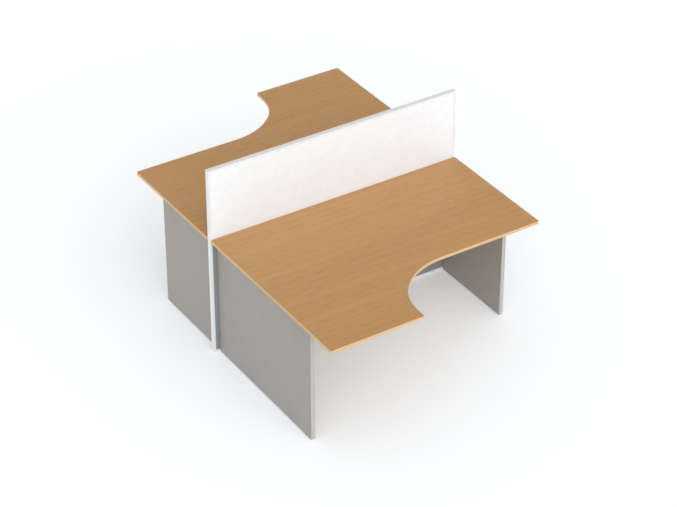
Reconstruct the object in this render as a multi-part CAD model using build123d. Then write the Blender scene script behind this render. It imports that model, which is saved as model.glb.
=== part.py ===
"""Two-person back-to-back workstation: two radiused corner desks either side of a framed screen.

Millimetres, +Z up. The origin is on the floor at the centre of the screen. The screen runs along X.
The front desk is on -Y with its deep end at -X. The rear desk is the front one turned half round.
"""
from build123d import *
from math import cos, radians, sin
import os

# Overall sizes
workstation_length = 1600.0
desk_height = 750.0
screen_height = 1180.0
deep_end_depth = 1200.0
shallow_end_depth = 800.0

# Desktop outline: the return is the deep end, and three tangent arcs join it to the straight
# front edge: a slight opening arc, the tight middle of the bay, and an easing arc
return_width = 570.0
straight_front_length = 650.0
bay_radius = 310.0
opening_turn = 5.0
easing_turn = 48.0
desktop_corner_radius = 10.0

# Board and edging thicknesses
desktop_thickness = 18.0
leg_thickness = 25.0
modesty_thickness = 18.0
edging_thickness = 2.0
edging_round = 1.0

# Where the panels stand under a desktop
desk_gap = 2.0
leg_overhang = 36.0
deep_leg_depth = 950.0
shallow_leg_depth = 560.0
modesty_height = 350.0
modesty_setback = 60.0

# Screen frame: a channel section mitred at the corners, with a cross rail behind the desktops
infill_thickness = 25.0
infill_clearance = 0.3
frame_lip = 2.2
frame_face = 12.0
frame_base = 4.0
frame_round = 0.8
mid_rail_web = 6.0
fabric_thickness = 2.0

# Corner keys that lie in the frame's groove, and their screws
key_thickness = 2.0
key_side_gap = 2.8
key_leg = 45.0
key_screw_radius = 1.5
key_screw_length = 5.0
key_screw_inset = 12.0

# Levelling glides and their sleeves
glide_pad_radius = 11.0
glide_pad_height = 3.2
glide_pad_round = 1.0
glide_hex_flats = 13.0
glide_hex_height = 1.8
glide_stem_radius = 4.0
glide_stem_length = 22.0
sleeve_wall = 1.8
sleeve_length = 26.0
moving_clearance = 0.3
leg_glide_inset = 60.0
screen_glide_inset = 120.0

# Knock-down fittings
fit_clearance = 0.1
cam_radius = 7.5
cam_reach = 4.5
cam_setting = 34.0
cam_key_width = 2.0
cam_key_depth = 3.0
bolt_radius = 2.5
bolt_head_radius = 3.4
bolt_head_height = 3.0
bolt_grip = 11.0
bolt_channel_radius = 4.0
cap_overlap = 1.5
cap_thickness = 1.0
cap_plug_depth = 1.0
dowel_radius = 4.0
dowel_grip = 12.0
dowel_length = 34.0
dowel_spacing = 32.0
leg_fitting_inset = 90.0
deep_leg_fittings = 3
shallow_leg_fittings = 2
modesty_fitting_inset = 70.0

# Angle brackets that tie each desktop to the screen, and their screws
bracket_leg = 40.0
bracket_width = 36.0
bracket_thickness = 3.0
bracket_screw_spacing = 20.0
bracket_inset = 260.0
bracket_count = 3
screw_radius = 1.75
screw_head_radius = 4.0
screw_head_height = 2.2
screw_grip = 10.0
screw_hole_offset = 26.0

# Heights and faces that follow from the sizes above
foot_height = glide_pad_height + glide_hex_height + moving_clearance
desktop_underside = desk_height - desktop_thickness
end_x = workstation_length / 2
groove_width = infill_thickness + 2 * infill_clearance
groove_depth = frame_face - frame_base
key_width = groove_width - 2 * key_side_gap
screen_thickness = groove_width + 2 * frame_lip
screen_face = screen_thickness / 2
infill_face = infill_thickness / 2
desk_back = screen_face + desk_gap
frame_height = screen_height - foot_height
infill_inset = frame_base + key_thickness + infill_clearance
infill_length = workstation_length - 2 * infill_inset
mid_rail_middle = (desk_height + desktop_underside) / 2
screw_length = bracket_thickness + screw_grip


def span_box(low, high):
    """A box between two opposite corners."""
    size = [high[i] - low[i] for i in range(3)]
    middle = [(high[i] + low[i]) / 2 for i in range(3)]
    return Pos(*middle) * Box(*size)


def rod(start, direction, radius, length):
    """A cylinder that starts at a point and runs along a direction."""
    plane = Plane(origin=start, z_dir=direction)
    return extrude(plane * Circle(radius), length)


def group(solids):
    """Several separate solids kept together as one compound."""
    return Compound(children=list(solids))


def half_turn(shape):
    """The rear desk's copy of a front desk piece."""
    return Rot(0, 0, 180) * shape


# Desktop

def bay_arcs(start, run, rise):
    """Three tangent arcs that turn from +Y to +X and end a given run and rise from the start."""
    opened = radians(90 - opening_turn)
    eased = radians(easing_turn)
    middle_run = bay_radius * (sin(opened) - sin(eased))
    middle_rise = bay_radius * (cos(eased) - cos(opened))
    # The first and last radii solve two linear equations, so that the ends meet exactly
    first_run, first_rise = 1 - sin(opened), cos(opened)
    last_run, last_rise = sin(eased), 1 - cos(eased)
    scale = first_run * last_rise - last_run * first_rise
    first = ((run - middle_run) * last_rise - last_run * (rise - middle_rise)) / scale
    last = (first_run * (rise - middle_rise) - (run - middle_run) * first_rise) / scale
    opening = JernArc(start, (0, 1), first, -opening_turn)
    middle = JernArc(opening @ 1, opening % 1, bay_radius, opening_turn + easing_turn - 90)
    easing = JernArc(middle @ 1, middle % 1, last, -easing_turn)
    return [opening, middle, easing]


def desktop_outline():
    """The front desktop's outer face, flat on Z = 0, with its five corners rounded."""
    back = -desk_back
    deep = back - deep_end_depth
    shallow = back - shallow_end_depth
    return_end = -end_x + return_width
    run = workstation_length - return_width - straight_front_length
    arcs = bay_arcs((return_end, deep), run, shallow - deep)
    left_back, left_deep = (-end_x, back), (-end_x, deep)
    right_back, right_shallow = (end_x, back), (end_x, shallow)
    outline = Wire([
        Line(left_back, left_deep),
        Line(left_deep, (return_end, deep)),
        *arcs,
        Line(arcs[-1] @ 1, right_shallow),
        Line(right_shallow, right_back),
        Line(right_back, left_back),
    ])
    face = Face(outline)
    sharp_points = (left_back, left_deep, (return_end, deep), right_shallow, right_back)
    sharp = [Vector(*point) for point in sharp_points]
    rounded = [v for v in face.vertices() if min((Vector(*v) - point).length for point in sharp) < 1]
    return fillet(rounded, desktop_corner_radius)


def desktop_blanks():
    """The board without its holes, and the edging ring around it with its rims rounded."""
    outer = desktop_outline()
    inner = offset(outer, -edging_thickness)
    base = Pos(0, 0, desktop_underside)
    whole = extrude(base * outer, desktop_thickness, dir=(0, 0, 1))
    board = extrude(base * inner, desktop_thickness, dir=(0, 0, 1))
    levels = whole.faces().filter_by(GeomType.PLANE).sort_by(Axis.Z)
    rims = levels[0].edges() + levels[-1].edges()
    return board, fillet(rims, edging_round) - board


# Leg panels and modesty panel

def leg_span(side):
    """Low and high X of a leg panel: side -1 is the deep end, +1 the shallow end."""
    outer = side * (end_x - leg_overhang)
    inner = outer - side * leg_thickness
    return min(outer, inner), max(outer, inner)


def leg_blank(side, depth):
    """A leg panel's board without its holes, behind its front edging."""
    low_x, high_x = leg_span(side)
    front = -desk_back - depth + edging_thickness
    return span_box((low_x, front, foot_height), (high_x, -desk_back, desktop_underside))


def leg_edging(side, depth):
    """The edging strip on a leg panel's front edge, with rounded corners."""
    low_x, high_x = leg_span(side)
    front = -desk_back - depth
    strip = span_box((low_x, front, foot_height), (high_x, front + edging_thickness, desktop_underside))
    corners = strip.edges().filter_by(Axis.Z).group_by(Axis.Y)[0]
    return fillet(corners, edging_round)


def modesty_blank():
    """The panel between the legs, without its holes."""
    low_x = leg_span(-1)[1]
    high_x = leg_span(1)[0]
    back = -desk_back - modesty_setback
    low = (low_x, back - modesty_thickness, desktop_underside - modesty_height)
    return span_box(low, (high_x, back, desktop_underside))


# Knock-down fittings. Each joint has a local frame: its origin is on the joint plane in the middle
# of the cam's board, +Z points into the board that the bolt screws into, and +Y points out of the
# face that the cam is turned from.

def joint_plane(origin, bolt_direction, cam_face_direction):
    """The local frame of one joint."""
    across = Vector(*cam_face_direction).cross(Vector(*bolt_direction))
    return Plane(origin=origin, x_dir=across, z_dir=bolt_direction)


def leg_joints(side, depth, count):
    """Cam joints along a leg panel's top edge, under the desktop."""
    low_x, high_x = leg_span(side)
    first = desk_back + leg_fitting_inset
    last = desk_back + depth - leg_fitting_inset
    step = (last - first) / (count - 1)
    middle_x = (low_x + high_x) / 2
    return [
        joint_plane((middle_x, -first - step * i, desktop_underside), (0, 0, 1), (-side, 0, 0))
        for i in range(count)
    ]


def modesty_joints():
    """Cam joints at both ends of the modesty panel, into the leg panels."""
    middle_y = -desk_back - modesty_setback - modesty_thickness / 2
    top = desktop_underside - modesty_fitting_inset
    bottom = desktop_underside - modesty_height + modesty_fitting_inset
    ends = {-1: leg_span(-1)[1], 1: leg_span(1)[0]}
    return [
        joint_plane((x, middle_y, z), (side, 0, 0), (0, 1, 0))
        for side, x in ends.items()
        for z in (bottom, top)
    ]


def cam_depth(thickness):
    """How deep a cam sits in its board, to reach past the bolt in the middle."""
    return thickness / 2 + cam_reach


def cam_cutter(thickness):
    """The cam's bore and the bolt's channel in the cam's board."""
    depth = cam_depth(thickness) + fit_clearance
    bore = rod((0, thickness / 2 - depth, -cam_setting), (0, 1, 0), cam_radius + fit_clearance, depth)
    channel = rod((0, 0, 0), (0, 0, -1), bolt_channel_radius, cam_setting)
    return bore + channel


def bolt_cutter():
    """The bolt's pilot hole in the board that it screws into."""
    return rod((0, 0, 0), (0, 0, 1), bolt_radius + fit_clearance, bolt_grip + fit_clearance)


def cam(thickness):
    """A cam housing with its key slot and the mouth that takes the bolt's head."""
    depth = cam_depth(thickness)
    seat = cap_plug_depth + fit_clearance
    body = rod((0, thickness / 2 - depth, -cam_setting), (0, 1, 0), cam_radius, depth - seat)
    top = thickness / 2 - seat
    slot = Pos(0, top, -cam_setting) * Box(2 * cam_radius, 2 * cam_key_depth, cam_key_width)
    mouth_radius = bolt_head_radius + fit_clearance
    mouth = rod((0, 0, -cam_setting - bolt_head_height), (0, 0, 1), mouth_radius, cam_setting)
    return body - slot - mouth


def cam_bolt():
    """A bolt with its head in the cam and its thread in the other board."""
    shank = rod((0, 0, -cam_setting), (0, 0, 1), bolt_radius, cam_setting + bolt_grip)
    head = rod((0, 0, -cam_setting - bolt_head_height / 2), (0, 0, 1), bolt_head_radius, bolt_head_height)
    return shank + head


def cam_cap(thickness):
    """The push-in cap that hides a cam."""
    face = thickness / 2
    cap = rod((0, face, -cam_setting), (0, 1, 0), cam_radius + cap_overlap, cap_thickness)
    rim = cap.edges().group_by(Axis.Y)[-1]
    plug_start = (0, face - cap_plug_depth, -cam_setting)
    plug = rod(plug_start, (0, 1, 0), cam_radius - fit_clearance, cap_plug_depth)
    return fillet(rim, cap_thickness / 2) + plug


def dowel(clearance=0.0):
    """A wooden dowel beside a cam, or its hole when a clearance is given."""
    start = (dowel_spacing, 0, dowel_grip + clearance)
    return rod(start, (0, 0, -1), dowel_radius + clearance, dowel_length + 2 * clearance)


# Glides

def sleeve_radius():
    """Outer radius of a glide's threaded sleeve."""
    return glide_stem_radius + moving_clearance + sleeve_wall


def sleeve_hole(point):
    """The hole that a sleeve is pressed into, open at the bottom."""
    return rod(point, (0, 0, 1), sleeve_radius() + fit_clearance, sleeve_length + fit_clearance)


def sleeve(point):
    """A threaded sleeve, flush with the edge that it is pressed into."""
    outer = rod(point, (0, 0, 1), sleeve_radius(), sleeve_length)
    bore = rod(point, (0, 0, 1), glide_stem_radius + moving_clearance, sleeve_length)
    return outer - bore


def glide(point):
    """A levelling glide at its stop, just clear of the edge above it."""
    x, y = point[0], point[1]
    pad = rod((x, y, 0), (0, 0, 1), glide_pad_radius, glide_pad_height)
    pad = fillet(pad.edges().group_by(Axis.Z)[0], glide_pad_round)
    hexagon = Pos(x, y, glide_pad_height) * RegularPolygon(glide_hex_flats / 2, 6, major_radius=False)
    nut = extrude(hexagon, glide_hex_height, dir=(0, 0, 1))
    top = glide_pad_height + glide_hex_height
    stem = rod((x, y, top), (0, 0, 1), glide_stem_radius, glide_stem_length)
    stem = chamfer(stem.edges().group_by(Axis.Z)[-1], glide_pad_round)
    return pad + nut + stem


def leg_feet(side, depth):
    """Where the sleeves of a leg panel start, keyed by the end of the panel."""
    middle_x = sum(leg_span(side)) / 2
    inner_y = -desk_back - leg_glide_inset
    outer_y = -desk_back - depth + leg_glide_inset
    return {"back": (middle_x, inner_y, foot_height), "front": (middle_x, outer_y, foot_height)}


def screen_feet():
    """Where the sleeves of the screen start."""
    reach = end_x - screen_glide_inset
    return {"left": (-reach, 0, foot_height), "right": (reach, 0, foot_height)}


# Brackets

def bracket_planes():
    """Local frames of the brackets: origin in the corner, +X along the screen, +Z up."""
    reach = end_x - bracket_inset
    step = 2 * reach / (bracket_count - 1)
    return [Pos(-reach + step * i, -infill_face, desktop_underside) for i in range(bracket_count)]


def bracket_screw_places():
    """Each screw's place and direction on one bracket, from the outside of the flange."""
    places = []
    for x in (-bracket_screw_spacing / 2, bracket_screw_spacing / 2):
        places.append(((x, -screw_hole_offset, -bracket_thickness), (0, 0, 1)))
        places.append(((x, -bracket_thickness, -screw_hole_offset), (0, 1, 0)))
    return places


def bracket():
    """An angle bracket with four screw holes."""
    half = bracket_width / 2
    flat = span_box((-half, -bracket_leg, -bracket_thickness), (half, 0, 0))
    upright = span_box((-half, -bracket_thickness, -bracket_leg), (half, 0, 0))
    body = flat + upright
    for start, direction in bracket_screw_places():
        body -= rod(start, direction, screw_radius + fit_clearance, bracket_thickness)
    return body


def screw(start, direction, clearance=0.0):
    """A pan-head screw, or only its shank's hole when a clearance is given."""
    shank = rod(start, direction, screw_radius + clearance, screw_length + clearance)
    if clearance > 0:
        return shank
    away = tuple(-part for part in direction)
    return shank + rod(start, away, screw_head_radius, screw_head_height)


def bracket_screws(clearance=0.0):
    """All the screws of one desk's brackets, or their holes."""
    return [
        place * screw(start, direction, clearance)
        for place in bracket_planes()
        for start, direction in bracket_screw_places()
    ]


# Screen

def channel_section():
    """The frame's section: base at the bottom, groove open upwards, centred across the screen."""
    outline = Pos(0, frame_face / 2) * Rectangle(screen_thickness, frame_face)
    outline = fillet(outline.vertices(), frame_round)
    groove = Pos(0, frame_base + groove_depth / 2) * Rectangle(groove_width, groove_depth)
    return outline - groove


def frame_member(origin, inward, along, length):
    """A channel of a given length with both ends mitred, its groove facing inward."""
    across = Vector(*inward).cross(Vector(*along))
    plane = Plane(origin=origin, x_dir=across, z_dir=along)
    bar = extrude(plane * channel_section(), length)
    reach = 2 * frame_face
    profile = Polyline((0, 0), (length, 0), (length - reach, reach), (reach, reach), close=True)
    keep_plane = Plane(origin=origin, x_dir=along, z_dir=Vector(*along).cross(Vector(*inward)))
    keep = extrude(keep_plane * make_face(profile), screen_thickness, both=True)
    return bar & keep


def stile(side):
    """An upright of the screen's frame: side -1 is the left end, +1 the right."""
    return frame_member((side * end_x, 0, foot_height), (-side, 0, 0), (0, 0, 1), frame_height)


def top_rail():
    """The screen's top rail."""
    return frame_member((-end_x, 0, screen_height), (0, 0, -1), (1, 0, 0), workstation_length)


def bottom_rail():
    """The screen's bottom rail, with holes for the sleeves."""
    rail = frame_member((-end_x, 0, foot_height), (0, 0, 1), (1, 0, 0), workstation_length)
    for point in screen_feet().values():
        rail -= sleeve_hole(point)
    return rail


def mid_rail():
    """The cross rail between the two infills, with a tongue in each stile's groove."""
    inner = end_x - frame_face
    body = span_box((-inner, -screen_face, desktop_underside), (inner, screen_face, desk_height))
    half_groove = groove_width / 2
    web_low = mid_rail_middle - mid_rail_web / 2
    web_high = mid_rail_middle + mid_rail_web / 2
    over = span_box((-inner, -half_groove, web_high), (inner, half_groove, desk_height))
    under = span_box((-inner, -half_groove, desktop_underside), (inner, half_groove, web_low))
    reach = infill_length / 2
    tongue = span_box((-reach, -infill_face, web_low), (reach, infill_face, web_high))
    return body - over - under + tongue


def infill_heights():
    """Low and high Z of the lower infill and of the upper infill."""
    bottom = foot_height + infill_inset
    under_web = mid_rail_middle - mid_rail_web / 2
    over_web = mid_rail_middle + mid_rail_web / 2
    return (bottom, under_web), (over_web, screen_height - infill_inset)


def lower_infill():
    """The board below the desktops, with pockets for sleeves and pilot holes for bracket screws."""
    low, high = infill_heights()[0]
    reach = infill_length / 2
    board = span_box((-reach, -infill_face, low), (reach, infill_face, high))
    for point in screen_feet().values():
        board -= sleeve_hole(point)
    for hole in bracket_screws(fit_clearance):
        board -= hole
        board -= half_turn(hole)
    return board


def upper_infill_layer(low_y, high_y):
    """One layer of the upper infill between two Y faces."""
    low, high = infill_heights()[1]
    reach = infill_length / 2
    return span_box((-reach, low_y, low), (reach, high_y, high))


def corner_key(side, level):
    """An L-shaped key in the frame's groove: side is -1 or +1, level is -1 at the foot, +1 at the top."""
    corner_x = side * (end_x - frame_base)
    corner_z = screen_height - frame_base if level > 0 else foot_height + frame_base
    half = key_width / 2
    flat = Pos(corner_x - side * key_leg / 2, 0, corner_z - level * key_thickness / 2)
    upright = Pos(corner_x - side * key_thickness / 2, 0, corner_z - level * key_leg / 2)
    key = flat * Box(key_leg, key_width, key_thickness) + upright * Box(key_thickness, key_width, key_leg)
    for hole in key_screws(side, level, fit_clearance):
        key -= hole
    return key


def key_screws(side, level, clearance=0.0):
    """The two screws of a corner key, or their holes when a clearance is given."""
    corner_x = side * (end_x - frame_base)
    corner_z = screen_height - frame_base if level > 0 else foot_height + frame_base
    reach = key_leg - key_screw_inset
    into_rail = (corner_x - side * reach, 0, corner_z - level * key_thickness)
    into_stile = (corner_x - side * key_thickness, 0, corner_z - level * reach)
    radius = key_screw_radius + clearance
    return [
        rod(into_rail, (0, 0, level), radius, key_screw_length),
        rod(into_stile, (side, 0, 0), radius, key_screw_length),
    ]


corners = [(side, level) for side in (-1, 1) for level in (-1, 1)]
legs = {
    "deep": (-1, deep_leg_depth, deep_leg_fittings),
    "shallow": (1, shallow_leg_depth, shallow_leg_fittings),
}


def screen_nodes():
    """Every node of the screen."""
    keys = [corner_key(side, level) for side, level in corners]
    screws = [screw for side, level in corners for screw in key_screws(side, level)]
    holes = [hole for side, level in corners for hole in key_screws(side, level, fit_clearance)]
    nodes = {
        "left_stile": stile(-1),
        "right_stile": stile(1),
        "top_rail": top_rail(),
        "bottom_rail": bottom_rail(),
    }
    for name in nodes:
        for hole in holes:
            nodes[name] -= hole
    fabric_face = infill_face - fabric_thickness
    nodes["mid_rail"] = mid_rail()
    nodes["lower_infill"] = lower_infill()
    nodes["upper_infill_core"] = upper_infill_layer(-fabric_face, fabric_face)
    nodes["front_fabric"] = upper_infill_layer(-infill_face, -fabric_face)
    nodes["rear_fabric"] = upper_infill_layer(fabric_face, infill_face)
    nodes["corner_keys"] = group(keys)
    nodes["corner_key_screws"] = group(screws)
    nodes["screen_sleeves"] = group(sleeve(point) for point in screen_feet().values())
    for name, point in screen_feet().items():
        nodes["screen_" + name + "_glide"] = glide(point)
    return nodes


def desk_nodes():
    """Every node of the front desk, without the desk's name."""
    board, edging = desktop_blanks()
    modesty = modesty_blank()
    cams, caps, bolts, dowels, sleeves = [], [], [], [], []
    nodes = {}
    for name, (side, depth, count) in legs.items():
        leg = leg_blank(side, depth)
        for place in (plane.location for plane in leg_joints(side, depth, count)):
            leg -= place * cam_cutter(leg_thickness)
            leg -= place * dowel(fit_clearance)
            board -= place * bolt_cutter()
            board -= place * dowel(fit_clearance)
            cams.append(place * cam(leg_thickness))
            caps.append(place * cam_cap(leg_thickness))
            bolts.append(place * cam_bolt())
            dowels.append(place * dowel())
        for place in (plane.location for plane in modesty_joints()):
            leg -= place * bolt_cutter()
            leg -= place * dowel(fit_clearance)
        for end, point in leg_feet(side, depth).items():
            leg -= sleeve_hole(point)
            sleeves.append(sleeve(point))
            nodes[name + "_leg_" + end + "_glide"] = glide(point)
        nodes[name + "_leg"] = leg
        nodes[name + "_leg_edging"] = leg_edging(side, depth)
    for place in (plane.location for plane in modesty_joints()):
        modesty -= place * cam_cutter(modesty_thickness)
        modesty -= place * dowel(fit_clearance)
        cams.append(place * cam(modesty_thickness))
        bolts.append(place * cam_bolt())
        dowels.append(place * dowel())
    for hole in bracket_screws(fit_clearance):
        board -= hole
    nodes["desktop"] = board
    nodes["desktop_edging"] = edging
    nodes["modesty_panel"] = modesty
    nodes["cams"] = group(cams)
    nodes["cam_caps"] = group(caps)
    nodes["cam_bolts"] = group(bolts)
    nodes["dowels"] = group(dowels)
    nodes["leg_sleeves"] = group(sleeves)
    nodes["screen_brackets"] = group(place * bracket() for place in bracket_planes())
    nodes["bracket_screws"] = group(bracket_screws())
    return nodes


def main():
    """Build every node and write it to parts/."""
    os.makedirs("parts", exist_ok=True)
    nodes = screen_nodes()
    for name, shape in desk_nodes().items():
        nodes["front_" + name] = shape
        nodes["rear_" + name] = half_turn(shape)
    for name, shape in nodes.items():
        export_step(shape, "parts/" + name + ".step")


main()
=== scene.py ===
"""Looks for a back-to-back two-person workstation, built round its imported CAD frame.

Two L-shaped beech-decor desks stand on grey panel legs either side of a white-framed screen. The CAD
boards, edgings, rails and fittings stay where they are and get their finishes here. The screen's
fabric covers, the levelling glides and the bracket screws are modelled here in full detail and stand
for their CAD nodes. Lengths are in metres unless a name ends in _mm.
"""
import logging
import math
from abc import ABC, abstractmethod
from dataclasses import dataclass
from enum import Enum

import bmesh
import bpy
from mathutils import Matrix, Vector, noise


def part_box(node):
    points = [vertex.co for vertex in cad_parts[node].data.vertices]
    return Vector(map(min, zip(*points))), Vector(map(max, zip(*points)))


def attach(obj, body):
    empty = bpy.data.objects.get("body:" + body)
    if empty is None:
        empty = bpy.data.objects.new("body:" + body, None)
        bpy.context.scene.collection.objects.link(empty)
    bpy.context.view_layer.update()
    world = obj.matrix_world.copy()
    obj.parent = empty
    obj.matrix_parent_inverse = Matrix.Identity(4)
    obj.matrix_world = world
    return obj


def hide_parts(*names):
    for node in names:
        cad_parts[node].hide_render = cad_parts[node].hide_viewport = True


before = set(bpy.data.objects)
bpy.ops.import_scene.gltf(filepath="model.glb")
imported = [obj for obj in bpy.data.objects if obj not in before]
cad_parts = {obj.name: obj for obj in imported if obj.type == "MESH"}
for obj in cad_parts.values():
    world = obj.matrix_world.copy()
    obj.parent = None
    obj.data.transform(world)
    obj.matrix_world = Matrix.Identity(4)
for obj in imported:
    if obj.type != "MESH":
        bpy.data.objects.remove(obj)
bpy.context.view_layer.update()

log = logging.getLogger("workstation")

MM = 0.001
ROOT_BODY = "workstation"
SMOOTH_ANGLE = math.radians(35)
WELD = 0.001 * MM  # points nearer than this are one point
UPRIGHT = 0.1  # a face whose normal rises or falls less than this is upright
WAVE_CYCLE = 2 * math.pi / 20  # a wave texture at scale 1 repeats over this distance
WHITE = "#FFFFFF"

Inputs = dict[str | int, object]  # a node's inputs, and the socket or value that each one gets


class Side(Enum):
    """The two sides of the screen."""

    FRONT = "front"
    REAR = "rear"

    @property
    def turn(self) -> Matrix:
        """Turn that takes a piece made for the front to this side."""
        return Matrix.Rotation(0 if self is Side.FRONT else math.pi, 4, "Z")


class Slot(Enum):
    """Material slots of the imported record."""

    BEECH_DECOR = "beech_decor"
    BEECH_EDGING = "beech_edging"
    GREY_BOARD = "grey_board"
    GREY_EDGING = "grey_edging"
    WHITE_FRAME = "white_frame"
    WHITE_FABRIC = "white_fabric"
    CORE_BOARD = "core_board"
    STEEL = "steel"
    ZINC = "zinc"
    BLACK_PLASTIC = "black_plastic"
    CAP_PLASTIC = "cap_plastic"
    DOWEL_WOOD = "dowel_wood"


# ---------------------------------------------------------------- small helpers


def linear(colour: str) -> tuple[float, float, float, float]:
    """Turn an sRGB hex colour into linear RGBA.

    Args:
        colour: the colour as "#RRGGBB".

    Returns:
        Linear red, green and blue, with an alpha of one.
    """
    channels = [int(colour[i : i + 2], 16) / 255 for i in (1, 3, 5)]
    curved = [c / 12.92 if c <= 0.04045 else ((c + 0.055) / 1.055) ** 2.4 for c in channels]
    return (*curved, 1.0)


def grains(size_mm: float) -> float:
    """Noise scale that makes features about this many millimetres wide."""
    return 1 / (size_mm * MM)


def cycles(spacing_mm: float) -> float:
    """Wave scale that makes a wave texture repeat every so many millimetres."""
    return WAVE_CYCLE / (spacing_mm * MM)


def socket(sockets: bpy.types.bpy_prop_collection, key: str | int) -> bpy.types.NodeSocket:
    """Find a node's socket by its number, or by its name among those in use.

    Args:
        sockets: the inputs or outputs of a node.
        key: the socket's number or name.

    Returns:
        The socket.
    """
    if isinstance(key, int):
        return sockets[key]
    return next(s for s in sockets if s.name == key and s.enabled)


def add(
    tree: bpy.types.NodeTree,
    kind: str,
    inputs: Inputs | None = None,
    out: str | int = 0,
    stops: dict[float, str] | None = None,
    **settings: object,
) -> bpy.types.NodeSocket:
    """Add a node, set it up and link it.

    Args:
        tree: the node tree that gets the node.
        kind: the node's type, without the leading "ShaderNode".
        inputs: each input's name or number, and the socket it is linked from or the value it holds.
        out: the name or number of the output that is wanted.
        stops: a colour ramp's sRGB hex colour at each position, in rising order.
        **settings: the node's own properties.

    Returns:
        The wanted output, or the first input of a node with no outputs.
    """
    node = tree.nodes.new("ShaderNode" + kind)
    for key, value in settings.items():
        setattr(node, key, value)
    if stops:
        elements = node.color_ramp.elements
        while len(elements) < len(stops):
            elements.new(1.0)
        for element, position in zip(elements, stops):
            element.position = position
            element.color = linear(stops[position])
    for key, value in (inputs or {}).items():
        target = socket(node.inputs, key)
        if isinstance(value, bpy.types.NodeSocket):
            tree.links.new(value, target)
        else:
            target.default_value = value
    if not node.outputs:
        return node.inputs[0]
    return socket(node.outputs, out)


def piece(name: str, bm: bmesh.types.BMesh, material: bpy.types.Material) -> bpy.types.Object:
    """Turn a bmesh into a piece of the object, at the origin.

    Args:
        name: the piece's name.
        bm: the finished bmesh, which is freed.
        material: the material of every face.

    Returns:
        The new object.
    """
    for face in bm.faces:
        face.smooth = True
    mesh = bpy.data.meshes.new(name)
    bm.to_mesh(mesh)
    bm.free()
    mesh.set_sharp_from_angle(angle=SMOOTH_ANGLE)
    mesh.materials.append(material)
    made = bpy.data.objects.new(name, mesh)
    bpy.context.scene.collection.objects.link(made)
    log.info("built %s: %d faces", name, len(mesh.polygons))
    return made


def lathe(bm: bmesh.types.BMesh, outline: list[tuple[float, float]], steps: int) -> None:
    """Turn an outline round the Z axis into a closed solid.

    Args:
        bm: the bmesh that gets the solid.
        outline: radius and height of each point, from the bottom of the axis to the top of it.
        steps: how many steps make the full turn.
    """
    points = [bm.verts.new((radius, 0, height)) for radius, height in outline]
    edges = [bm.edges.new(pair) for pair in zip(points, points[1:])]
    bmesh.ops.spin(
        bm,
        geom=points + edges,
        cent=(0, 0, 0),
        axis=(0, 0, 1),
        angle=2 * math.pi,
        steps=steps,
        use_merge=True,
    )
    bmesh.ops.remove_doubles(bm, verts=bm.verts, dist=WELD)
    bmesh.ops.recalc_face_normals(bm, faces=bm.faces)


# ---------------------------------------------------------------- finishes


class Finish(ABC):
    """A surface finish that is drawn on the object's own coordinates."""

    name: str
    pale: str
    deep: str
    roughness: float
    glossier: float
    duller: float
    relief: float
    relief_mm: float

    @property
    def tones(self) -> dict[float, str]:
        """Stops of the colour ramp, from the deep tone to the pale one."""
        return {0.0: self.deep, 1.0: self.pale}

    def gloss_range(self, mark: bpy.types.NodeSocket) -> Inputs:
        """Inputs of a range that makes the surface glossier or duller with the strength of a mark."""
        low, high = self.roughness - self.glossier, self.roughness + self.duller
        return {"Value": mark, "To Min": low, "To Max": high}

    def bump(self, height: bpy.types.NodeSocket) -> Inputs:
        """Inputs of a bump that lifts the surface by the finish's relief."""
        return {"Height": height, "Strength": self.relief, "Distance": self.relief_mm * MM}

    @abstractmethod
    def skin(self, tree: bpy.types.NodeTree, place: bpy.types.NodeSocket) -> Inputs:
        """Draw the surface.

        Args:
            tree: the material's node tree.
            place: the socket that gives the place on the object.

        Returns:
            The inputs of the surface shader.
        """

    def material(self) -> bpy.types.Material:
        """Build the material."""
        material = bpy.data.materials.new(self.name)
        material.use_nodes = True
        tree = material.node_tree
        tree.nodes.clear()
        place = add(tree, "TexCoord", out="Object")
        surface = add(tree, "BsdfPrincipled", self.skin(tree, place), "BSDF")
        add(tree, "OutputMaterial", {"Surface": surface})
        return material


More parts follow.
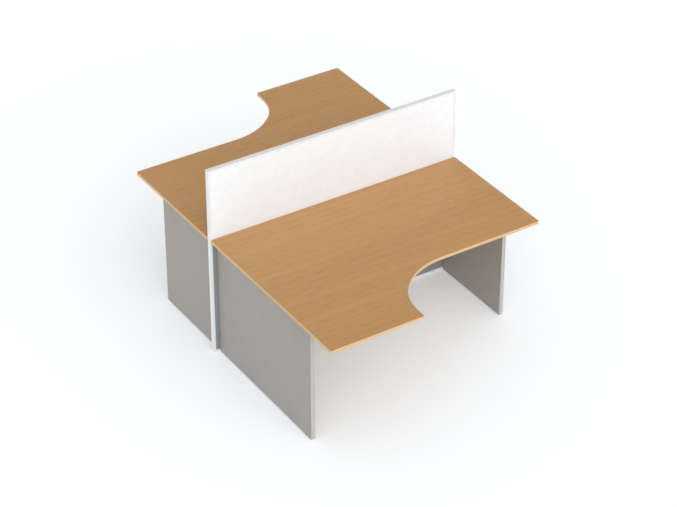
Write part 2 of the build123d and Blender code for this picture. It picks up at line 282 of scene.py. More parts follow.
@dataclass(frozen=True)
class BeechDecor(Finish):
    """Melamine-faced chipboard with a printed steamed-beech decor.

    The print gives long soft streaks along the grain, a faint arched figure and short dark flecks.
    The paper lies under a pressed satin skin, so the gloss is even and the relief very low.
    """

    name: str = "beech_melamine_decor"
    pale: str = "#CA9D66"
    middle: str = "#C0915A"
    deep: str = "#B6844D"
    fleck: str = "#93693D"
    middle_at: float = 0.45
    stretch: float = 12.0
    drift_mm: float = 260.0
    bend_mm: float = 60.0
    figure_mm: float = 55.0
    figure_weight: float = 0.08
    cloud_mm: float = 120.0
    cloud_weight: float = 0.35
    streak_mm: float = 6.0
    fleck_mm: float = 0.9
    fleck_stretch: float = 5.0
    roughness: float = 0.46
    glossier: float = 0.05
    duller: float = 0.05
    relief: float = 0.08
    relief_mm: float = 0.15

    @property
    def tones(self) -> dict[float, str]:
        """Stops of the colour ramp, with a tone between the deep and the pale one."""
        return {0.0: self.deep, self.middle_at: self.middle, 1.0: self.pale}

    def skin(self, tree: bpy.types.NodeTree, place: bpy.types.NodeSocket) -> Inputs:
        """Draw the beech decor.

        Args:
            tree: the material's node tree.
            place: the socket that gives the place on the object.

        Returns:
            The inputs of the surface shader.
        """
        grain = add(tree, "Mapping", {"Vector": place, "Scale": (1 / self.stretch, 1, 1)})
        drift = add(tree, "TexNoise", {"Vector": grain, "Scale": grains(self.drift_mm), "Detail": 2}, "Color")
        bend = {0: drift, 1: (0, self.bend_mm * MM, 0), 2: grain}
        bent = add(tree, "VectorMath", bend, operation="MULTIPLY_ADD")
        arches = {"Vector": bent, "Scale": cycles(self.figure_mm), "Distortion": 9, "Detail": 3}
        arches |= {"Detail Scale": 0.7, "Detail Roughness": 0.55}
        figure = add(tree, "TexWave", arches, "Fac", bands_direction="Y")
        long_grain = {"Vector": bent, "Scale": grains(self.streak_mm), "Detail": 6, "Roughness": 0.62}
        streak = add(tree, "TexNoise", long_grain, "Fac")
        cloud = add(tree, "TexNoise", {"Vector": grain, "Scale": grains(self.cloud_mm), "Detail": 2}, "Fac")
        clouded = add(tree, "Math", {0: cloud, 1: self.cloud_weight, 2: streak}, operation="MULTIPLY_ADD")
        figured = add(tree, "Math", {0: figure, 1: self.figure_weight, 2: clouded}, operation="MULTIPLY_ADD")
        tone = add(tree, "MapRange", {"Value": figured, "From Min": 0.46, "From Max": 0.98})
        wood = add(tree, "ValToRGB", {"Fac": tone}, "Color", stops=self.tones)
        dashes = add(tree, "Mapping", {"Vector": place, "Scale": (1 / self.fleck_stretch, 1, 1)})
        pore = add(tree, "TexNoise", {"Vector": dashes, "Scale": grains(self.fleck_mm), "Detail": 1}, "Fac")
        dark = add(tree, "MapRange", {"Value": pore, "From Min": 0.58, "From Max": 0.72, "To Max": 0.55})
        flecked = {"Factor": dark, "A": wood, "B": linear(self.fleck)}
        colour = add(tree, "Mix", flecked, "Result", data_type="RGBA")
        gloss = add(tree, "MapRange", self.gloss_range(streak))
        normal = add(tree, "Bump", self.bump(pore))
        return {"Base Color": colour, "Roughness": gloss, "Normal": normal, "IOR": 1.5}


@dataclass(frozen=True)
class EdgingBand(Finish):
    """Extruded ABS edging, trimmed and scraped after gluing.

    Its colour runs in thin lines along the band, and the scraper leaves a fine sheen that runs the
    same way. The field named along squeezes the pattern on each axis, which draws it out that way.
    """

    name: str
    pale: str
    deep: str
    along: tuple[float, float, float]
    line_mm: float = 1.6
    line_weight: float = 0.6
    patch_mm: float = 40.0
    roughness: float = 0.4
    glossier: float = 0.06
    duller: float = 0.08
    relief: float = 0.12
    relief_mm: float = 0.1

    def skin(self, tree: bpy.types.NodeTree, place: bpy.types.NodeSocket) -> Inputs:
        """Draw the edging.

        Args:
            tree: the material's node tree.
            place: the socket that gives the place on the object.

        Returns:
            The inputs of the surface shader.
        """
        run = add(tree, "Mapping", {"Vector": place, "Scale": self.along})
        lines = add(tree, "TexNoise", {"Vector": run, "Scale": grains(self.line_mm), "Detail": 4}, "Fac")
        patches = add(tree, "TexNoise", {"Vector": run, "Scale": grains(self.patch_mm), "Detail": 2}, "Fac")
        mixed = add(tree, "Math", {0: lines, 1: self.line_weight, 2: patches}, operation="MULTIPLY_ADD")
        tone = add(tree, "MapRange", {"Value": mixed, "From Min": 0.55, "From Max": 1.05})
        colour = add(tree, "ValToRGB", {"Fac": tone}, "Color", stops=self.tones)
        gloss = add(tree, "MapRange", self.gloss_range(lines))
        normal = add(tree, "Bump", self.bump(lines))
        return {"Base Color": colour, "Roughness": gloss, "Normal": normal, "IOR": 1.52}


@dataclass(frozen=True)
class GreyMelamine(Finish):
    """Melamine-faced chipboard in a plain decor with a pearl press texture.

    The press plate leaves shallow pits that break up the sheen, and the paper's ink is a little
    uneven. The pits are drawn about twice their real width, because finer ones would not show.
    """

    name: str
    pale: str
    deep: str
    pit_mm: float = 1.4
    cloud_mm: float = 90.0
    cloud_weight: float = 0.4
    roughness: float = 0.52
    glossier: float = 0.06
    duller: float = 0.06
    relief: float = 0.3
    relief_mm: float = 0.12

    def skin(self, tree: bpy.types.NodeTree, place: bpy.types.NodeSocket) -> Inputs:
        """Draw the board's face.

        Args:
            tree: the material's node tree.
            place: the socket that gives the place on the object.

        Returns:
            The inputs of the surface shader.
        """
        cloud = add(tree, "TexNoise", {"Vector": place, "Scale": grains(self.cloud_mm), "Detail": 4}, "Fac")
        pits = add(tree, "TexNoise", {"Vector": place, "Scale": grains(self.pit_mm), "Detail": 2}, "Fac")
        mixed = add(tree, "Math", {0: cloud, 1: self.cloud_weight, 2: pits}, operation="MULTIPLY_ADD")
        tone = add(tree, "MapRange", {"Value": mixed, "From Min": 0.45, "From Max": 0.95})
        colour = add(tree, "ValToRGB", {"Fac": tone}, "Color", stops=self.tones)
        gloss = add(tree, "MapRange", self.gloss_range(pits))
        normal = add(tree, "Bump", self.bump(pits))
        return {"Base Color": colour, "Roughness": gloss, "Normal": normal, "IOR": 1.5}


@dataclass(frozen=True)
class PowderCoat(Finish):
    """White polyester powder coat on extruded aluminium.

    The powder flows into a faint orange peel, so the semi-gloss reflections waver slightly.
    """

    name: str = "white_powder_coat"
    pale: str = "#E6E6E5"
    deep: str = "#E2E2E0"
    peel_mm: float = 2.6
    film_mm: float = 70.0
    roughness: float = 0.36
    glossier: float = 0.05
    duller: float = 0.07
    relief: float = 0.2
    relief_mm: float = 0.12
    gloss_layer: float = 0.15
    layer_roughness: float = 0.25

    def skin(self, tree: bpy.types.NodeTree, place: bpy.types.NodeSocket) -> Inputs:
        """Draw the powder coat.

        Args:
            tree: the material's node tree.
            place: the socket that gives the place on the object.

        Returns:
            The inputs of the surface shader.
        """
        peel = add(tree, "TexNoise", {"Vector": place, "Scale": grains(self.peel_mm), "Detail": 1.5}, "Fac")
        film = add(tree, "TexNoise", {"Vector": place, "Scale": grains(self.film_mm), "Detail": 3}, "Fac")
        tone = add(tree, "MapRange", {"Value": film, "From Min": 0.3, "From Max": 0.7})
        colour = add(tree, "ValToRGB", {"Fac": tone}, "Color", stops=self.tones)
        gloss = add(tree, "MapRange", self.gloss_range(film))
        normal = add(tree, "Bump", self.bump(peel))
        coat = {"Base Color": colour, "Roughness": gloss, "Normal": normal, "IOR": 1.5}
        return coat | {"Coat Weight": self.gloss_layer, "Coat Roughness": self.layer_roughness}


@dataclass(frozen=True)
class WovenCover(Finish):
    """White polyester panel fabric in a plain weave.

    Warp and weft cross in a fine grid, slubs make some threads thicker, and the loose fibre ends give
    a soft sheen at grazing angles. The threads are drawn about twice as wide as they are, because
    finer ones would not show.
    """

    name: str = "white_plain_weave"
    pale: str = "#EBEDEF"
    deep: str = "#E3E5E7"
    thread_mm: float = 1.8
    weave_weight: float = 0.3
    slub_mm: float = 5.0
    slub_squeeze: float = 0.12  # along the thread
    slub_weight: float = 0.35
    slub_height: float = 0.5
    mottle_mm: float = 32.0
    roughness: float = 0.88
    relief: float = 0.35
    relief_mm: float = 0.3
    sheen: float = 0.25
    sheen_roughness: float = 0.5
    specular: float = 0.25

    def skin(self, tree: bpy.types.NodeTree, place: bpy.types.NodeSocket) -> Inputs:
        """Draw the fabric.

        Args:
            tree: the material's node tree.
            place: the socket that gives the place on the object.

        Returns:
            The inputs of the surface shader.
        """
        thread = {"Vector": place, "Scale": cycles(self.thread_mm), "Distortion": 0.6, "Detail": 1}
        warp = add(tree, "TexWave", thread, "Fac", bands_direction="X")
        weft = add(tree, "TexWave", thread, "Fac", bands_direction="Z")
        weave = add(tree, "Math", {0: warp, 1: weft}, operation="MULTIPLY")
        upright = add(tree, "Mapping", {"Vector": place, "Scale": (1, 1, self.slub_squeeze)})
        level = add(tree, "Mapping", {"Vector": place, "Scale": (self.slub_squeeze, 1, 1)})
        slubs = [
            add(tree, "TexNoise", {"Vector": way, "Scale": grains(self.slub_mm), "Detail": 2}, "Fac")
            for way in (upright, level)
        ]
        slub = add(tree, "Math", {0: slubs[0], 1: slubs[1]}, operation="ADD")
        mottle = add(tree, "TexNoise", {"Vector": place, "Scale": grains(self.mottle_mm), "Detail": 5}, "Fac")
        patchy = add(tree, "Math", {0: slub, 1: self.slub_weight, 2: mottle}, operation="MULTIPLY_ADD")
        threads = add(tree, "Math", {0: weave, 1: self.weave_weight, 2: patchy}, operation="MULTIPLY_ADD")
        tone = add(tree, "MapRange", {"Value": threads, "From Min": 0.6, "From Max": 1.25})
        colour = add(tree, "ValToRGB", {"Fac": tone}, "Color", stops=self.tones)
        height = add(tree, "Math", {0: slub, 1: self.slub_height, 2: weave}, operation="MULTIPLY_ADD")
        normal = add(tree, "Bump", self.bump(height))
        cloth = {"Base Color": colour, "Roughness": self.roughness, "Normal": normal}
        cloth |= {"Sheen Weight": self.sheen, "Sheen Roughness": self.sheen_roughness}
        return cloth | {"Specular IOR Level": self.specular}


@dataclass(frozen=True)
class Softboard(Finish):
    """Raw pressed-fibre pin board.

    Matted fibres of two browns lie in all directions and leave a soft matt face.
    """

    name: str = "raw_softboard"
    pale: str = "#BFA277"
    deep: str = "#8F7148"
    fibre_mm: float = 3.0
    roughness: float = 0.95
    relief: float = 0.6
    relief_mm: float = 0.5

    def skin(self, tree: bpy.types.NodeTree, place: bpy.types.NodeSocket) -> Inputs:
        """Draw the softboard.

        Args:
            tree: the material's node tree.
            place: the socket that gives the place on the object.

        Returns:
            The inputs of the surface shader.
        """
        matted = {"Vector": place, "Scale": grains(self.fibre_mm), "Detail": 8, "Roughness": 0.7}
        fibres = add(tree, "TexNoise", matted | {"Distortion": 2.5}, "Fac")
        tone = add(tree, "MapRange", {"Value": fibres, "From Min": 0.3, "From Max": 0.7})
        colour = add(tree, "ValToRGB", {"Fac": tone}, "Color", stops=self.tones)
        normal = add(tree, "Bump", self.bump(fibres))
        return {"Base Color": colour, "Roughness": self.roughness, "Normal": normal}


@dataclass(frozen=True)
class PlatedMetal(Finish):
    """Steel or zinc with a thin bright or cast surface.

    Plating follows the metal below it, so faint marks vary its tone and gloss. A casting has fine
    pits instead, which scatter the highlights.
    """

    name: str
    pale: str
    deep: str
    mark_mm: float
    roughness: float
    relief_mm: float
    cell_marks: float = 3.0  # a cell of the coating is this many marks wide
    cell_weight: float = 0.3
    glossier: float = 0.08
    duller: float = 0.12
    relief: float = 0.3

    def skin(self, tree: bpy.types.NodeTree, place: bpy.types.NodeSocket) -> Inputs:
        """Draw the metal.

        Args:
            tree: the material's node tree.
            place: the socket that gives the place on the object.

        Returns:
            The inputs of the surface shader.
        """
        marks = add(tree, "TexNoise", {"Vector": place, "Scale": grains(self.mark_mm), "Detail": 5}, "Fac")
        cell = {"Vector": place, "Scale": grains(self.cell_marks * self.mark_mm)}
        cells = add(tree, "TexVoronoi", cell, "Distance")
        mixed = add(tree, "Math", {0: cells, 1: self.cell_weight, 2: marks}, operation="MULTIPLY_ADD")
        tone = add(tree, "MapRange", {"Value": mixed, "From Min": 0.35, "From Max": 0.85})
        colour = add(tree, "ValToRGB", {"Fac": tone}, "Color", stops=self.tones)
        gloss = add(tree, "MapRange", self.gloss_range(marks))
        normal = add(tree, "Bump", self.bump(marks))
        return {"Base Color": colour, "Metallic": 1.0, "Roughness": gloss, "Normal": normal}


@dataclass(frozen=True)
class MouldedPlastic(Finish):
    """Injection-moulded plastic from a spark-eroded mould.

    The mould leaves an even fine grain, and handling leaves slightly glossier patches.
    """

    name: str
    pale: str
    deep: str
    grit_mm: float = 0.5
    patch_mm: float = 9.0
    roughness: float = 0.5
    glossier: float = 0.08
    duller: float = 0.08
    relief: float = 0.25
    relief_mm: float = 0.05

    def skin(self, tree: bpy.types.NodeTree, place: bpy.types.NodeSocket) -> Inputs:
        """Draw the plastic.

        Args:
            tree: the material's node tree.
            place: the socket that gives the place on the object.

        Returns:
            The inputs of the surface shader.
        """
        grit = add(tree, "TexNoise", {"Vector": place, "Scale": grains(self.grit_mm), "Detail": 2}, "Fac")
        patches = add(tree, "TexNoise", {"Vector": place, "Scale": grains(self.patch_mm), "Detail": 2}, "Fac")
        tone = add(tree, "MapRange", {"Value": patches, "From Min": 0.3, "From Max": 0.7})
        colour = add(tree, "ValToRGB", {"Fac": tone}, "Color", stops=self.tones)
        gloss = add(tree, "MapRange", self.gloss_range(patches))
        normal = add(tree, "Bump", self.bump(grit))
        return {"Base Color": colour, "Roughness": gloss, "Normal": normal, "IOR": 1.53}


@dataclass(frozen=True)
class BeechDowel(Finish):
    """Turned and fluted beech.

    End grain and pores show as short dark dashes in a pale even wood.
    """

    name: str = "turned_beech"
    pale: str = "#D9B98D"
    deep: str = "#B98F5F"
    grain_mm: float = 1.2
    grain_squeeze: float = 0.15
    roughness: float = 0.7
    relief: float = 0.4
    relief_mm: float = 0.1

    def skin(self, tree: bpy.types.NodeTree, place: bpy.types.NodeSocket) -> Inputs:
        """Draw the dowel wood.

        Args:
            tree: the material's node tree.
            place: the socket that gives the place on the object.

        Returns:
            The inputs of the surface shader.
        """
        squeeze = (1, self.grain_squeeze, self.grain_squeeze)
        grain = add(tree, "Mapping", {"Vector": place, "Scale": squeeze})
        lines = add(tree, "TexNoise", {"Vector": grain, "Scale": grains(self.grain_mm), "Detail": 4}, "Fac")
        tone = add(tree, "MapRange", {"Value": lines, "From Min": 0.35, "From Max": 0.65})
        colour = add(tree, "ValToRGB", {"Fac": tone}, "Color", stops=self.tones)
        normal = add(tree, "Bump", self.bump(lines))
        return {"Base Color": colour, "Roughness": self.roughness, "Normal": normal}


@dataclass(frozen=True)
class SealedFloor(Finish):
    """A pale sealed floor, trowelled and matt.

    It glows a little, so that it stays near white, and its sheen varies in broad patches.
    """

    name: str = "pale_sealed_floor"
    pale: str = "#EDF3F8"
    glow: float = 0.25
    patch_mm: float = 400.0
    smooth: float = 0.75
    matt: float = 0.9

    def skin(self, tree: bpy.types.NodeTree, place: bpy.types.NodeSocket) -> Inputs:
        """Draw the floor.

        Args:
            tree: the material's node tree.
            place: the socket that gives the place on the object.

        Returns:
            The inputs of the surface shader.
        """
        patches = add(tree, "TexNoise", {"Vector": place, "Scale": grains(self.patch_mm), "Detail": 3}, "Fac")
        rough = add(tree, "MapRange", {"Value": patches, "To Min": self.smooth, "To Max": self.matt})
        glow = {"Emission Color": linear(WHITE), "Emission Strength": self.glow}
        return glow | {"Base Color": linear(self.pale), "Roughness": rough}


class Finishes:
    """Every finish of the workstation, each built once."""

    def __init__(self) -> None:
        """Build the materials, keyed by the record's slots."""
        kinds: dict[Slot, Finish] = {
            Slot.BEECH_DECOR: BeechDecor(),
            Slot.BEECH_EDGING: EdgingBand(
                "beech_abs_edging", pale="#D9B182", deep="#CBA06D", along=(0.05, 0.05, 1)
            ),
            Slot.GREY_BOARD: GreyMelamine("grey_melamine_pearl", pale="#A39C95", deep="#969089"),
            Slot.GREY_EDGING: EdgingBand(
                "grey_abs_edging", pale="#B1B0AC", deep="#A8A7A3", along=(1, 1, 0.05)
            ),
            Slot.WHITE_FRAME: PowderCoat(),
            Slot.WHITE_FABRIC: WovenCover(),
            Slot.CORE_BOARD: Softboard(),
            Slot.STEEL: PlatedMetal(
                "bright_zinc_plate",
                pale="#C9CDD3",
                deep="#A6ABB3",
                mark_mm=1.5,
                roughness=0.34,
                relief_mm=0.03,
            ),
            Slot.ZINC: PlatedMetal(
                "die_cast_zinc",
                pale="#A9ABAE",
                deep="#86888C",
                mark_mm=0.6,
                roughness=0.5,
                relief_mm=0.08,
            ),
            Slot.BLACK_PLASTIC: MouldedPlastic("black_nylon", pale="#26272A", deep="#191A1C"),
            Slot.CAP_PLASTIC: MouldedPlastic("grey_cap_plastic", pale="#B3B1AB", deep="#A6A49F"),
            Slot.DOWEL_WOOD: BeechDowel(),
        }
        self.materials: dict[Slot, bpy.types.Material] = {
            slot: kind.material() for slot, kind in kinds.items()
        }
        # A darker, cooler copy of the grey board for the lower infill: partly its own grey and partly painted
        # shade for the space under the desks.
        slate = GreyMelamine("slate_melamine_pearl_with_painted_shade", pale="#8E9296", deep="#828689")
        self.slate: bpy.types.Material = slate.material()

    def dress(self, names: list[str], other: bpy.types.Material | None = None) -> None:
        """Give each CAD node a finish.

        Args:
            names: the CAD nodes.
            other: the finish, where it isn't that of the slot that the node was packed with.
        """
        for name in names:
            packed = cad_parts[name].material_slots[0]
            packed.material = other or self.materials[Slot(packed.material.name.split(".")[0])]
            log.info("dressed %s in %s", name, packed.material.name)


# ---------------------------------------------------------------- fittings


@dataclass
class LevellingGlide:
    """A screw-in foot: a ribbed nylon pad, a pressed hexagon and a threaded stud.

    Its CAD node is its body too, and gives its place and height.
    """

    node: str
    hex_flats: float = 13 * MM
    hex_height: float = 1.8 * MM
    hex_edge: float = 0.35 * MM
    pad_height: float = 3.2 * MM
    pad_edge: float = 1.0 * MM
    pad_shoulder: float = 0.3  # this and the next two are shares of pad_edge
    pad_crown_drop: float = 0.6
    pad_crown_inset: float = 0.4
    pad_steps: int = 72
    rib_every: int = 3
    rib_inset: float = 0.12 * MM
    rib_depth: float = 0.35 * MM
    stud_radius: float = 4 * MM
    thread_pitch: float = 1.25 * MM
    thread_depth: float = 0.6 * MM
    thread_steps: int = 24

    def build(self, finishes: Finishes) -> None:
        """Build the pad and the stud, and let them stand for the CAD node.

        Args:
            finishes: the workstation's finishes.
        """
        low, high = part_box(self.node)
        centre = Matrix.Translation(((low.x + high.x) / 2, (low.y + high.y) / 2, low.z))
        parts = {
            "pad": (self.pad((high.x - low.x) / 2), Slot.BLACK_PLASTIC),
            "stud": (self.stud(high.z - low.z), Slot.STEEL),
        }
        for part, (bm, slot) in parts.items():
            bmesh.ops.transform(bm, matrix=centre, verts=bm.verts)
            made = piece(f"{self.node}_{part}", bm, finishes.materials[slot])
            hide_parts(self.node)
            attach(made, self.node)

    def pad(self, radius: float) -> bmesh.types.BMesh:
        """Turn the pad and press the grip ribs into its rim.

        Args:
            radius: the pad's radius.

        Returns:
            The pad, standing on the floor at the origin.
        """
        bm = bmesh.new()
        rim, top = self.pad_edge, self.pad_height
        shoulder = self.pad_shoulder * rim
        outline = [(0, 0), (radius - rim, 0), (radius - shoulder, shoulder), (radius, rim)]
        outline += [(radius, top - self.pad_crown_drop * rim)]
        outline += [(radius - self.pad_crown_inset * rim, top), (0, top)]
        lathe(bm, outline, self.pad_steps)
        flank = [f for f in bm.faces if abs(f.normal.z) < UPRIGHT]
        flank.sort(key=lambda f: math.atan2(f.calc_center_median().y, f.calc_center_median().x))
        grooves = flank[:: self.rib_every]
        bmesh.ops.inset_individual(bm, faces=grooves, thickness=self.rib_inset, depth=-self.rib_depth)
        return bm

    def stud(self, height: float) -> bmesh.types.BMesh:
        """Build the hexagon and the threaded stud above the pad.

        Args:
            height: the whole height of the glide.

        Returns:
            The hexagon and stud, with the glide's foot at the origin.
        """
        bm = bmesh.new()
        corner = self.hex_flats / 2 / math.cos(math.pi / 6)
        seat = Matrix.Translation((0, 0, self.pad_height))
        bmesh.ops.create_circle(bm, cap_ends=True, radius=corner, segments=6, matrix=seat)
        risen = bmesh.ops.extrude_face_region(bm, geom=bm.faces[:])["geom"]
        lifted = [v for v in risen if isinstance(v, bmesh.types.BMVert)]
        bmesh.ops.translate(bm, vec=(0, 0, self.hex_height), verts=lifted)
        bmesh.ops.recalc_face_normals(bm, faces=bm.faces)
        bmesh.ops.bevel(
            bm, geom=bm.edges, offset=self.hex_edge, affect="EDGES", segments=2, profile=0.5, material=-1
        )
        self.thread(bm, self.pad_height + self.hex_height, height)
        return bm

    def thread(self, bm: bmesh.types.BMesh, bottom: float, top: float) -> None:
        """Wind a V thread round the stud and close both its ends.

        Args:
            bm: the bmesh that gets the stud.
            bottom: where the thread leaves the hexagon.
            top: the end of the stud.
        """
        turns = int((top - bottom) / self.thread_pitch) - 1
        root = self.stud_radius - self.thread_depth
        start = bottom + (top - bottom - (turns + 1) * self.thread_pitch) / 2
        tooth = [(root, 0), (self.stud_radius, 0.5), (root, 1)]
        verts = [bm.verts.new((radius, 0, start + share * self.thread_pitch)) for radius, share in tooth]
        edges = [bm.edges.new(pair) for pair in zip(verts, verts[1:])]
        bmesh.ops.spin(
            bm,
            geom=verts + edges,
            cent=(0, 0, 0),
            axis=(0, 0, 1),
            dvec=(0, 0, self.thread_pitch / self.thread_steps),
            angle=2 * math.pi * turns,
            steps=self.thread_steps * turns,
        )
        bmesh.ops.remove_doubles(bm, verts=bm.verts, dist=WELD)
        rims = [e for e in bm.edges if e.is_boundary]
        bmesh.ops.holes_fill(bm, edges=rims)
        ends = [f for f in bm.faces if len(f.verts) > self.thread_steps]
        bmesh.ops.triangulate(bm, faces=ends)
        bmesh.ops.recalc_face_normals(bm, faces=bm.faces)


# shares of the head's radius and height, from the top of the head to its underside
PAN_HEAD = ((0.62, 1.0), (0.86, 0.84), (1.0, 0.45), (1.0, 0.0))


@dataclass
class PanHeadScrew:
    """A zinc-plated pan-head screw with a cross recess."""

    head_radius: float = 4 * MM
    head_height: float = 2.2 * MM
    shank_radius: float = 1.75 * MM
    length: float = 13 * MM
    recess_arm: float = 1.9 * MM
    recess_width: float = 0.8 * MM
    recess_depth: float = 1.2 * MM
    recess_floor: float = 0.6  # size of the recess's floor against its mouth
    plain_share: float = 0.12  # of the length, before the thread starts
    thread_share: float = 0.86  # of the rest, before the tip
    root_share: float = 0.74  # of the shank's radius
    tip_share: float = 0.1  # of the shank's radius
    coils: int = 9
    steps: int = 24

    def add_to(self, bm: bmesh.types.BMesh, place: Matrix) -> None:
        """Add one screw.

        Args:
            bm: the bmesh that gets the screw.
            place: where the underside of the head sits, with +Z pointing out of the head.
        """
        made = bmesh.new()
        sizes = [(self.head_radius * r, self.head_height * h) for r, h in PAN_HEAD]
        thread_start = -self.plain_share * self.length
        sizes += [(self.shank_radius, 0), (self.shank_radius, thread_start)]
        reach = (-self.length - thread_start) * self.thread_share
        for i in range(self.coils):
            sizes.append((self.shank_radius * self.root_share, thread_start + reach * (i + 0.5) / self.coils))
            sizes.append((self.shank_radius, thread_start + reach * (i + 1) / self.coils))
        sizes.append((self.shank_radius * self.tip_share, -self.length))
        loops = [self.cross(made)] + [self.ring(made, radius, height) for radius, height in sizes]
        for inner, outer in zip(loops, loops[1:]):
            bmesh.ops.bridge_loops(made, edges=inner + outer)
        bmesh.ops.holes_fill(made, edges=loops[-1])
        self.sink(made)
        bmesh.ops.recalc_face_normals(made, faces=made.faces)
        bmesh.ops.transform(made, matrix=place, verts=made.verts)
        mesh = bpy.data.meshes.new("screw")
        made.to_mesh(mesh)
        made.free()
        bm.from_mesh(mesh)
        bpy.data.meshes.remove(mesh)

    def cross(self, bm: bmesh.types.BMesh) -> list[bmesh.types.BMEdge]:
        """Draw the mouth of the recess on top of the head.

        Args:
            bm: the bmesh that gets the outline.

        Returns:
            The outline's edges.
        """
        arm, half = self.recess_arm, self.recess_width / 2
        quarter = [Vector((arm, -half, 0)), Vector((arm, half, 0)), Vector((half, half, 0))]
        top = Matrix.Translation((0, 0, self.head_height))
        corners = [
            bm.verts.new(top @ Matrix.Rotation(i * math.pi / 2, 4, "Z") @ point)
            for i in range(4)
            for point in quarter
        ]
        return [bm.edges.new(pair) for pair in zip(corners, corners[1:] + corners[:1])]

    def ring(self, bm: bmesh.types.BMesh, radius: float, height: float) -> list[bmesh.types.BMEdge]:
        """Draw a circle round the screw's axis.

        Args:
            bm: the bmesh that gets the circle.
            radius: the circle's radius.
            height: its height above the underside of the head.

        Returns:
            The circle's edges.
        """
        made = bmesh.ops.create_circle(
            bm, radius=radius, segments=self.steps, matrix=Matrix.Translation((0, 0, height))
        )
        return list({edge for vert in made["verts"] for edge in vert.link_edges})

    def sink(self, bm: bmesh.types.BMesh) -> None:
        """Push the recess down and narrow its floor.

        Args:
            bm: the bmesh with the recess's open mouth.
        """
        mouth = [e for e in bm.edges if e.is_boundary]
        sunk = bmesh.ops.extrude_edge_only(bm, edges=mouth)["geom"]
        floor_verts = [v for v in sunk if isinstance(v, bmesh.types.BMVert)]
        floor_edges = [e for e in sunk if isinstance(e, bmesh.types.BMEdge)]
        bmesh.ops.translate(bm, vec=(0, 0, -self.recess_depth), verts=floor_verts)
        narrowed = (self.recess_floor, self.recess_floor, 1)
        bmesh.ops.scale(bm, vec=narrowed, verts=floor_verts)
        bmesh.ops.holes_fill(bm, edges=floor_edges)


# ---------------------------------------------------------------- sub-assemblies


@dataclass
class Desk:
    """One desk: its L-shaped top, two panel legs, a modesty panel, its fittings and its feet."""

    side: Side
    bracket_count: int = 3
    bracket_width: float = 36 * MM
    bracket_thickness: float = 3 * MM
    screw_spacing: float = 20 * MM
    screw_offset: float = 26 * MM

    def node(self, name: str) -> str:
        """The CAD node's name on this side."""
        return f"{self.side.value}_{name}"

    def dress(self, finishes: Finishes) -> None:
        """Give the boards, edgings and fittings their finishes.

        Args:
            finishes: the workstation's finishes.
        """
        boards = ["desktop", "deep_leg", "shallow_leg", "modesty_panel"]
        edgings = ["desktop_edging", "deep_leg_edging", "shallow_leg_edging"]
        fittings = ["cams", "cam_bolts", "cam_caps", "dowels", "leg_sleeves", "screen_brackets"]
        finishes.dress([self.node(name) for name in boards + edgings + fittings])

    def build(self, finishes: Finishes) -> None:
        """Build the feet and the bracket screws.

        Args:
            finishes: the workstation's finishes.
        """
        for leg in ("deep_leg", "shallow_leg"):
            for end in ("front", "back"):
                LevellingGlide(self.node(f"{leg}_{end}_glide")).build(finishes)
        self.build_screws(finishes)

    def build_screws(self, finishes: Finishes) -> None:
        """Build the screws that hold the brackets to the desktop and to the screen.

        Args:
            finishes: the workstation's finishes.
        """
        low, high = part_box(self.node("screen_brackets"))
        first = low.x + self.bracket_width / 2
        step = (high.x - low.x - self.bracket_width) / (self.bracket_count - 1)
        inner_y = high.y if self.side is Side.FRONT else -low.y
        bm = bmesh.new()
        for i in range(self.bracket_count):
            for across in (-self.screw_spacing / 2, self.screw_spacing / 2):
                corner = Vector((first + i * step + across, inner_y, high.z))
                for place in self.screw_places(corner):
                    PanHeadScrew().add_to(bm, self.side.turn @ place)
        made = piece(self.node("pan_head_screws"), bm, finishes.materials[Slot.STEEL])
        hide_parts(self.node("bracket_screws"))
        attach(made, ROOT_BODY)

    def screw_places(self, corner: Vector) -> list[Matrix]:
        """Places of the upright and the level screw beside one corner of a bracket.

        Args:
            corner: the point where the bracket's two flanges meet, at the screws' own X.

        Returns:
            Each screw's place, with +Z pointing out of its head.
        """
        up = corner + Vector((0, -self.screw_offset, -self.bracket_thickness))
        level = corner + Vector((0, -self.bracket_thickness, -self.screw_offset))
        head_down = Matrix.Rotation(math.pi, 4, "X")
        head_out = Matrix.Rotation(math.pi / 2, 4, "X")
        return [Matrix.Translation(up) @ head_down, Matrix.Translation(level) @ head_out]


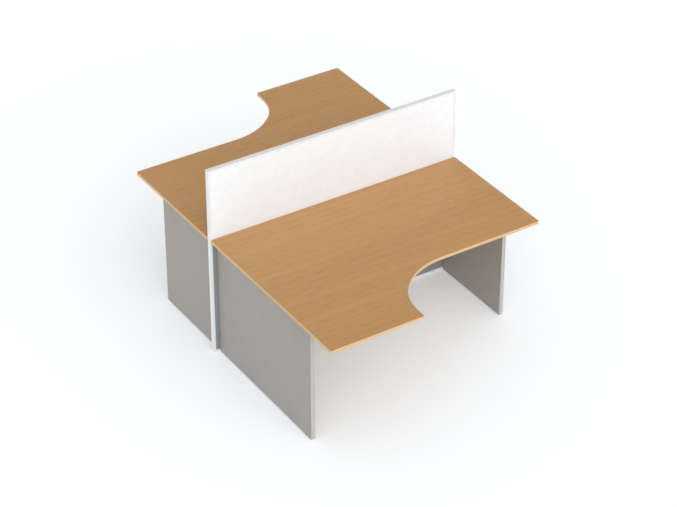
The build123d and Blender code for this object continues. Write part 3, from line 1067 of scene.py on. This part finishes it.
@dataclass
class Screen:
    """The screen: a mitred white frame, a grey lower panel and a fabric-covered upper panel."""

    frame_face: float = 12 * MM  # width of a stile or the top rail, seen from a desk
    cover_thickness: float = 1.2 * MM
    crown: float = 1.3 * MM
    roll: float = 16 * MM
    ripple: float = 0.12 * MM
    ripple_size: float = 180 * MM
    columns: int = 150
    rows: int = 56

    def dress(self, finishes: Finishes) -> None:
        """Give the frame, panels and inner fittings their finishes.

        Args:
            finishes: the workstation's finishes.
        """
        members = ["left_stile", "right_stile", "top_rail", "mid_rail", "bottom_rail"]
        fittings = ["corner_keys", "corner_key_screws", "screen_sleeves"]
        finishes.dress([*members, "upper_infill_core", *fittings])
        # The lower infill gets the darker, cooler slate copy of the grey board, partly painted shade for the
        # space under the desks.
        finishes.dress(["lower_infill"], finishes.slate)

    def build(self, finishes: Finishes) -> None:
        """Build the fabric covers and the feet.

        Args:
            finishes: the workstation's finishes.
        """
        for side in Side:
            self.build_cover(side, finishes)
        for end in ("left", "right"):
            LevellingGlide(f"screen_{end}_glide").build(finishes)

    def build_cover(self, side: Side, finishes: Finishes) -> None:
        """Stretch a cover over one face of the core, with its rim down in the frame's groove.

        Args:
            side: the face that it covers.
            finishes: the workstation's finishes.
        """
        node = f"{side.value}_fabric"
        low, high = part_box(node)
        width, height = high.x - low.x, high.z - low.z
        face = max(abs(low.y), abs(high.y))
        open_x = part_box("right_stile")[1].x - self.frame_face
        open_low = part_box("mid_rail")[1].z
        open_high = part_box("top_rail")[1].z - self.frame_face
        bm = bmesh.new()
        bmesh.ops.create_grid(bm, x_segments=self.columns, y_segments=self.rows, size=1)
        for vert in bm.verts:
            x = self.spread(vert.co.x) * width / 2
            z = (low.z + high.z) / 2 + self.spread(vert.co.y) * height / 2
            inside = min(open_x - abs(x), z - open_low, open_high - z)
            vert.co = (x, -face - self.swell(inside, x, z), z)
        bmesh.ops.recalc_face_normals(bm, faces=bm.faces)
        if bm.faces[0].normal.y > 0:
            bmesh.ops.reverse_faces(bm, faces=bm.faces)
        bmesh.ops.solidify(bm, geom=bm.faces[:], thickness=self.cover_thickness)
        bmesh.ops.transform(bm, matrix=side.turn, verts=bm.verts)
        fabric = Slot.WHITE_FABRIC
        cover = piece(f"{side.value}_fabric_cover", bm, finishes.materials[fabric])
        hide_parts(node)
        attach(cover, ROOT_BODY)

    @staticmethod
    def spread(share: float) -> float:
        """Crowd evenly spaced shares, from -1 to 1, towards both ends."""
        return share * (3 - share * share) / 2

    def swell(self, inside: float, x: float, z: float) -> float:
        """How far the fabric stands out from its rim.

        Args:
            inside: distance inside the frame's opening.
            x: place along the screen.
            z: height.

        Returns:
            The rise, which is nothing in the groove.
        """
        share = min(max(inside / self.roll, 0), 1)
        rise = share * share * (3 - 2 * share)
        wave = noise.noise(Vector((x, 0, z)) / self.ripple_size)
        return rise * (self.crown + self.ripple * wave)


# ---------------------------------------------------------------- studio


@dataclass
class Studio:
    """A pale floor, a soft sky with a bright quarter, and the camera."""

    lens_mm: float = 121.86
    azimuth: float = -32.706
    elevation: float = 33.701
    distance: float = 12.93
    aim: tuple[float, float, float] = (0.0392, 0.0194, 0.3428)
    floor_size: float = 60.0
    floor_cells: int = 8
    zenith: float = 0.655
    horizon: float = 0.45
    zenith_from: float = 0.8
    key_strength: float = 2.188
    key_azimuth: float = -15.0
    key_elevation: float = 12.0
    key_focus: float = 3.0

    def away(self, azimuth: float, elevation: float) -> Vector:
        """Unit vector from the object towards a place round it, for angles in degrees."""
        a, e = math.radians(azimuth), math.radians(elevation)
        return Vector((math.sin(a) * math.cos(e), -math.cos(a) * math.cos(e), math.sin(e)))

    def build(self) -> None:
        """Build the floor, the lights and the camera."""
        bpy.context.scene.view_settings.view_transform = "Standard"
        self.build_floor()
        self.build_sky()
        self.build_camera()
        log.info("studio ready")

    def build_floor(self) -> None:
        """Lay the floor."""
        bm = bmesh.new()
        cells = self.floor_cells
        bmesh.ops.create_grid(bm, x_segments=cells, y_segments=cells, size=self.floor_size / 2)
        mesh = bpy.data.meshes.new("floor")
        bm.to_mesh(mesh)
        bm.free()
        mesh.materials.append(SealedFloor().material())
        floor = bpy.data.objects.new("floor", mesh)
        bpy.context.scene.collection.objects.link(floor)

    def build_sky(self) -> None:
        """Surround the object with a sky that brightens towards one quarter and is itself seen as white."""
        world = bpy.data.worlds.new("soft_sky")
        bpy.context.scene.world = world
        world.use_nodes = True
        tree = world.node_tree
        tree.nodes.clear()
        outward = add(tree, "TexCoord", out="Generated")
        height = add(tree, "SeparateXYZ", {0: outward}, "Z")
        fade = {"Value": height, "From Max": self.zenith_from, "To Min": self.horizon, "To Max": self.zenith}
        sky = add(tree, "MapRange", fade)
        key = self.away(self.key_azimuth, self.key_elevation)
        facing = add(tree, "VectorMath", {0: outward, 1: key}, "Value", operation="DOT_PRODUCT")
        lit = add(tree, "Math", {0: facing, 1: 0.0}, operation="MAXIMUM")
        lobe = add(tree, "Math", {0: lit, 1: self.key_focus}, operation="POWER")
        light = add(tree, "Math", {0: lobe, 1: self.key_strength, 2: sky}, operation="MULTIPLY_ADD")
        seen = add(tree, "LightPath", out="Is Camera Ray")
        strength = add(tree, "Math", {0: light, 1: seen}, operation="MAXIMUM")
        shine = add(tree, "Background", {"Strength": strength, "Color": linear(WHITE)})
        add(tree, "OutputWorld", {"Surface": shine})

    def build_camera(self) -> None:
        """Aim a long lens at the workstation."""
        camera = bpy.data.cameras.new("camera")
        camera.lens = self.lens_mm
        eye = bpy.data.objects.new("camera", camera)
        back = self.away(self.azimuth, self.elevation)
        eye.location = Vector(self.aim) + back * self.distance
        eye.rotation_euler = (-back).to_track_quat("-Z", "Y").to_euler()
        bpy.context.scene.collection.objects.link(eye)
        bpy.context.scene.camera = eye


def main() -> None:
    """Build the studio and every sub-assembly."""
    logging.basicConfig(level=logging.INFO, format="%(name)s: %(message)s")
    Studio().build()
    finishes = Finishes()
    for part in (Desk(Side.FRONT), Desk(Side.REAR), Screen()):
        part.dress(finishes)
        part.build(finishes)
        log.info("finished %s", type(part).__name__)


if __name__ == "__main__":
    main()
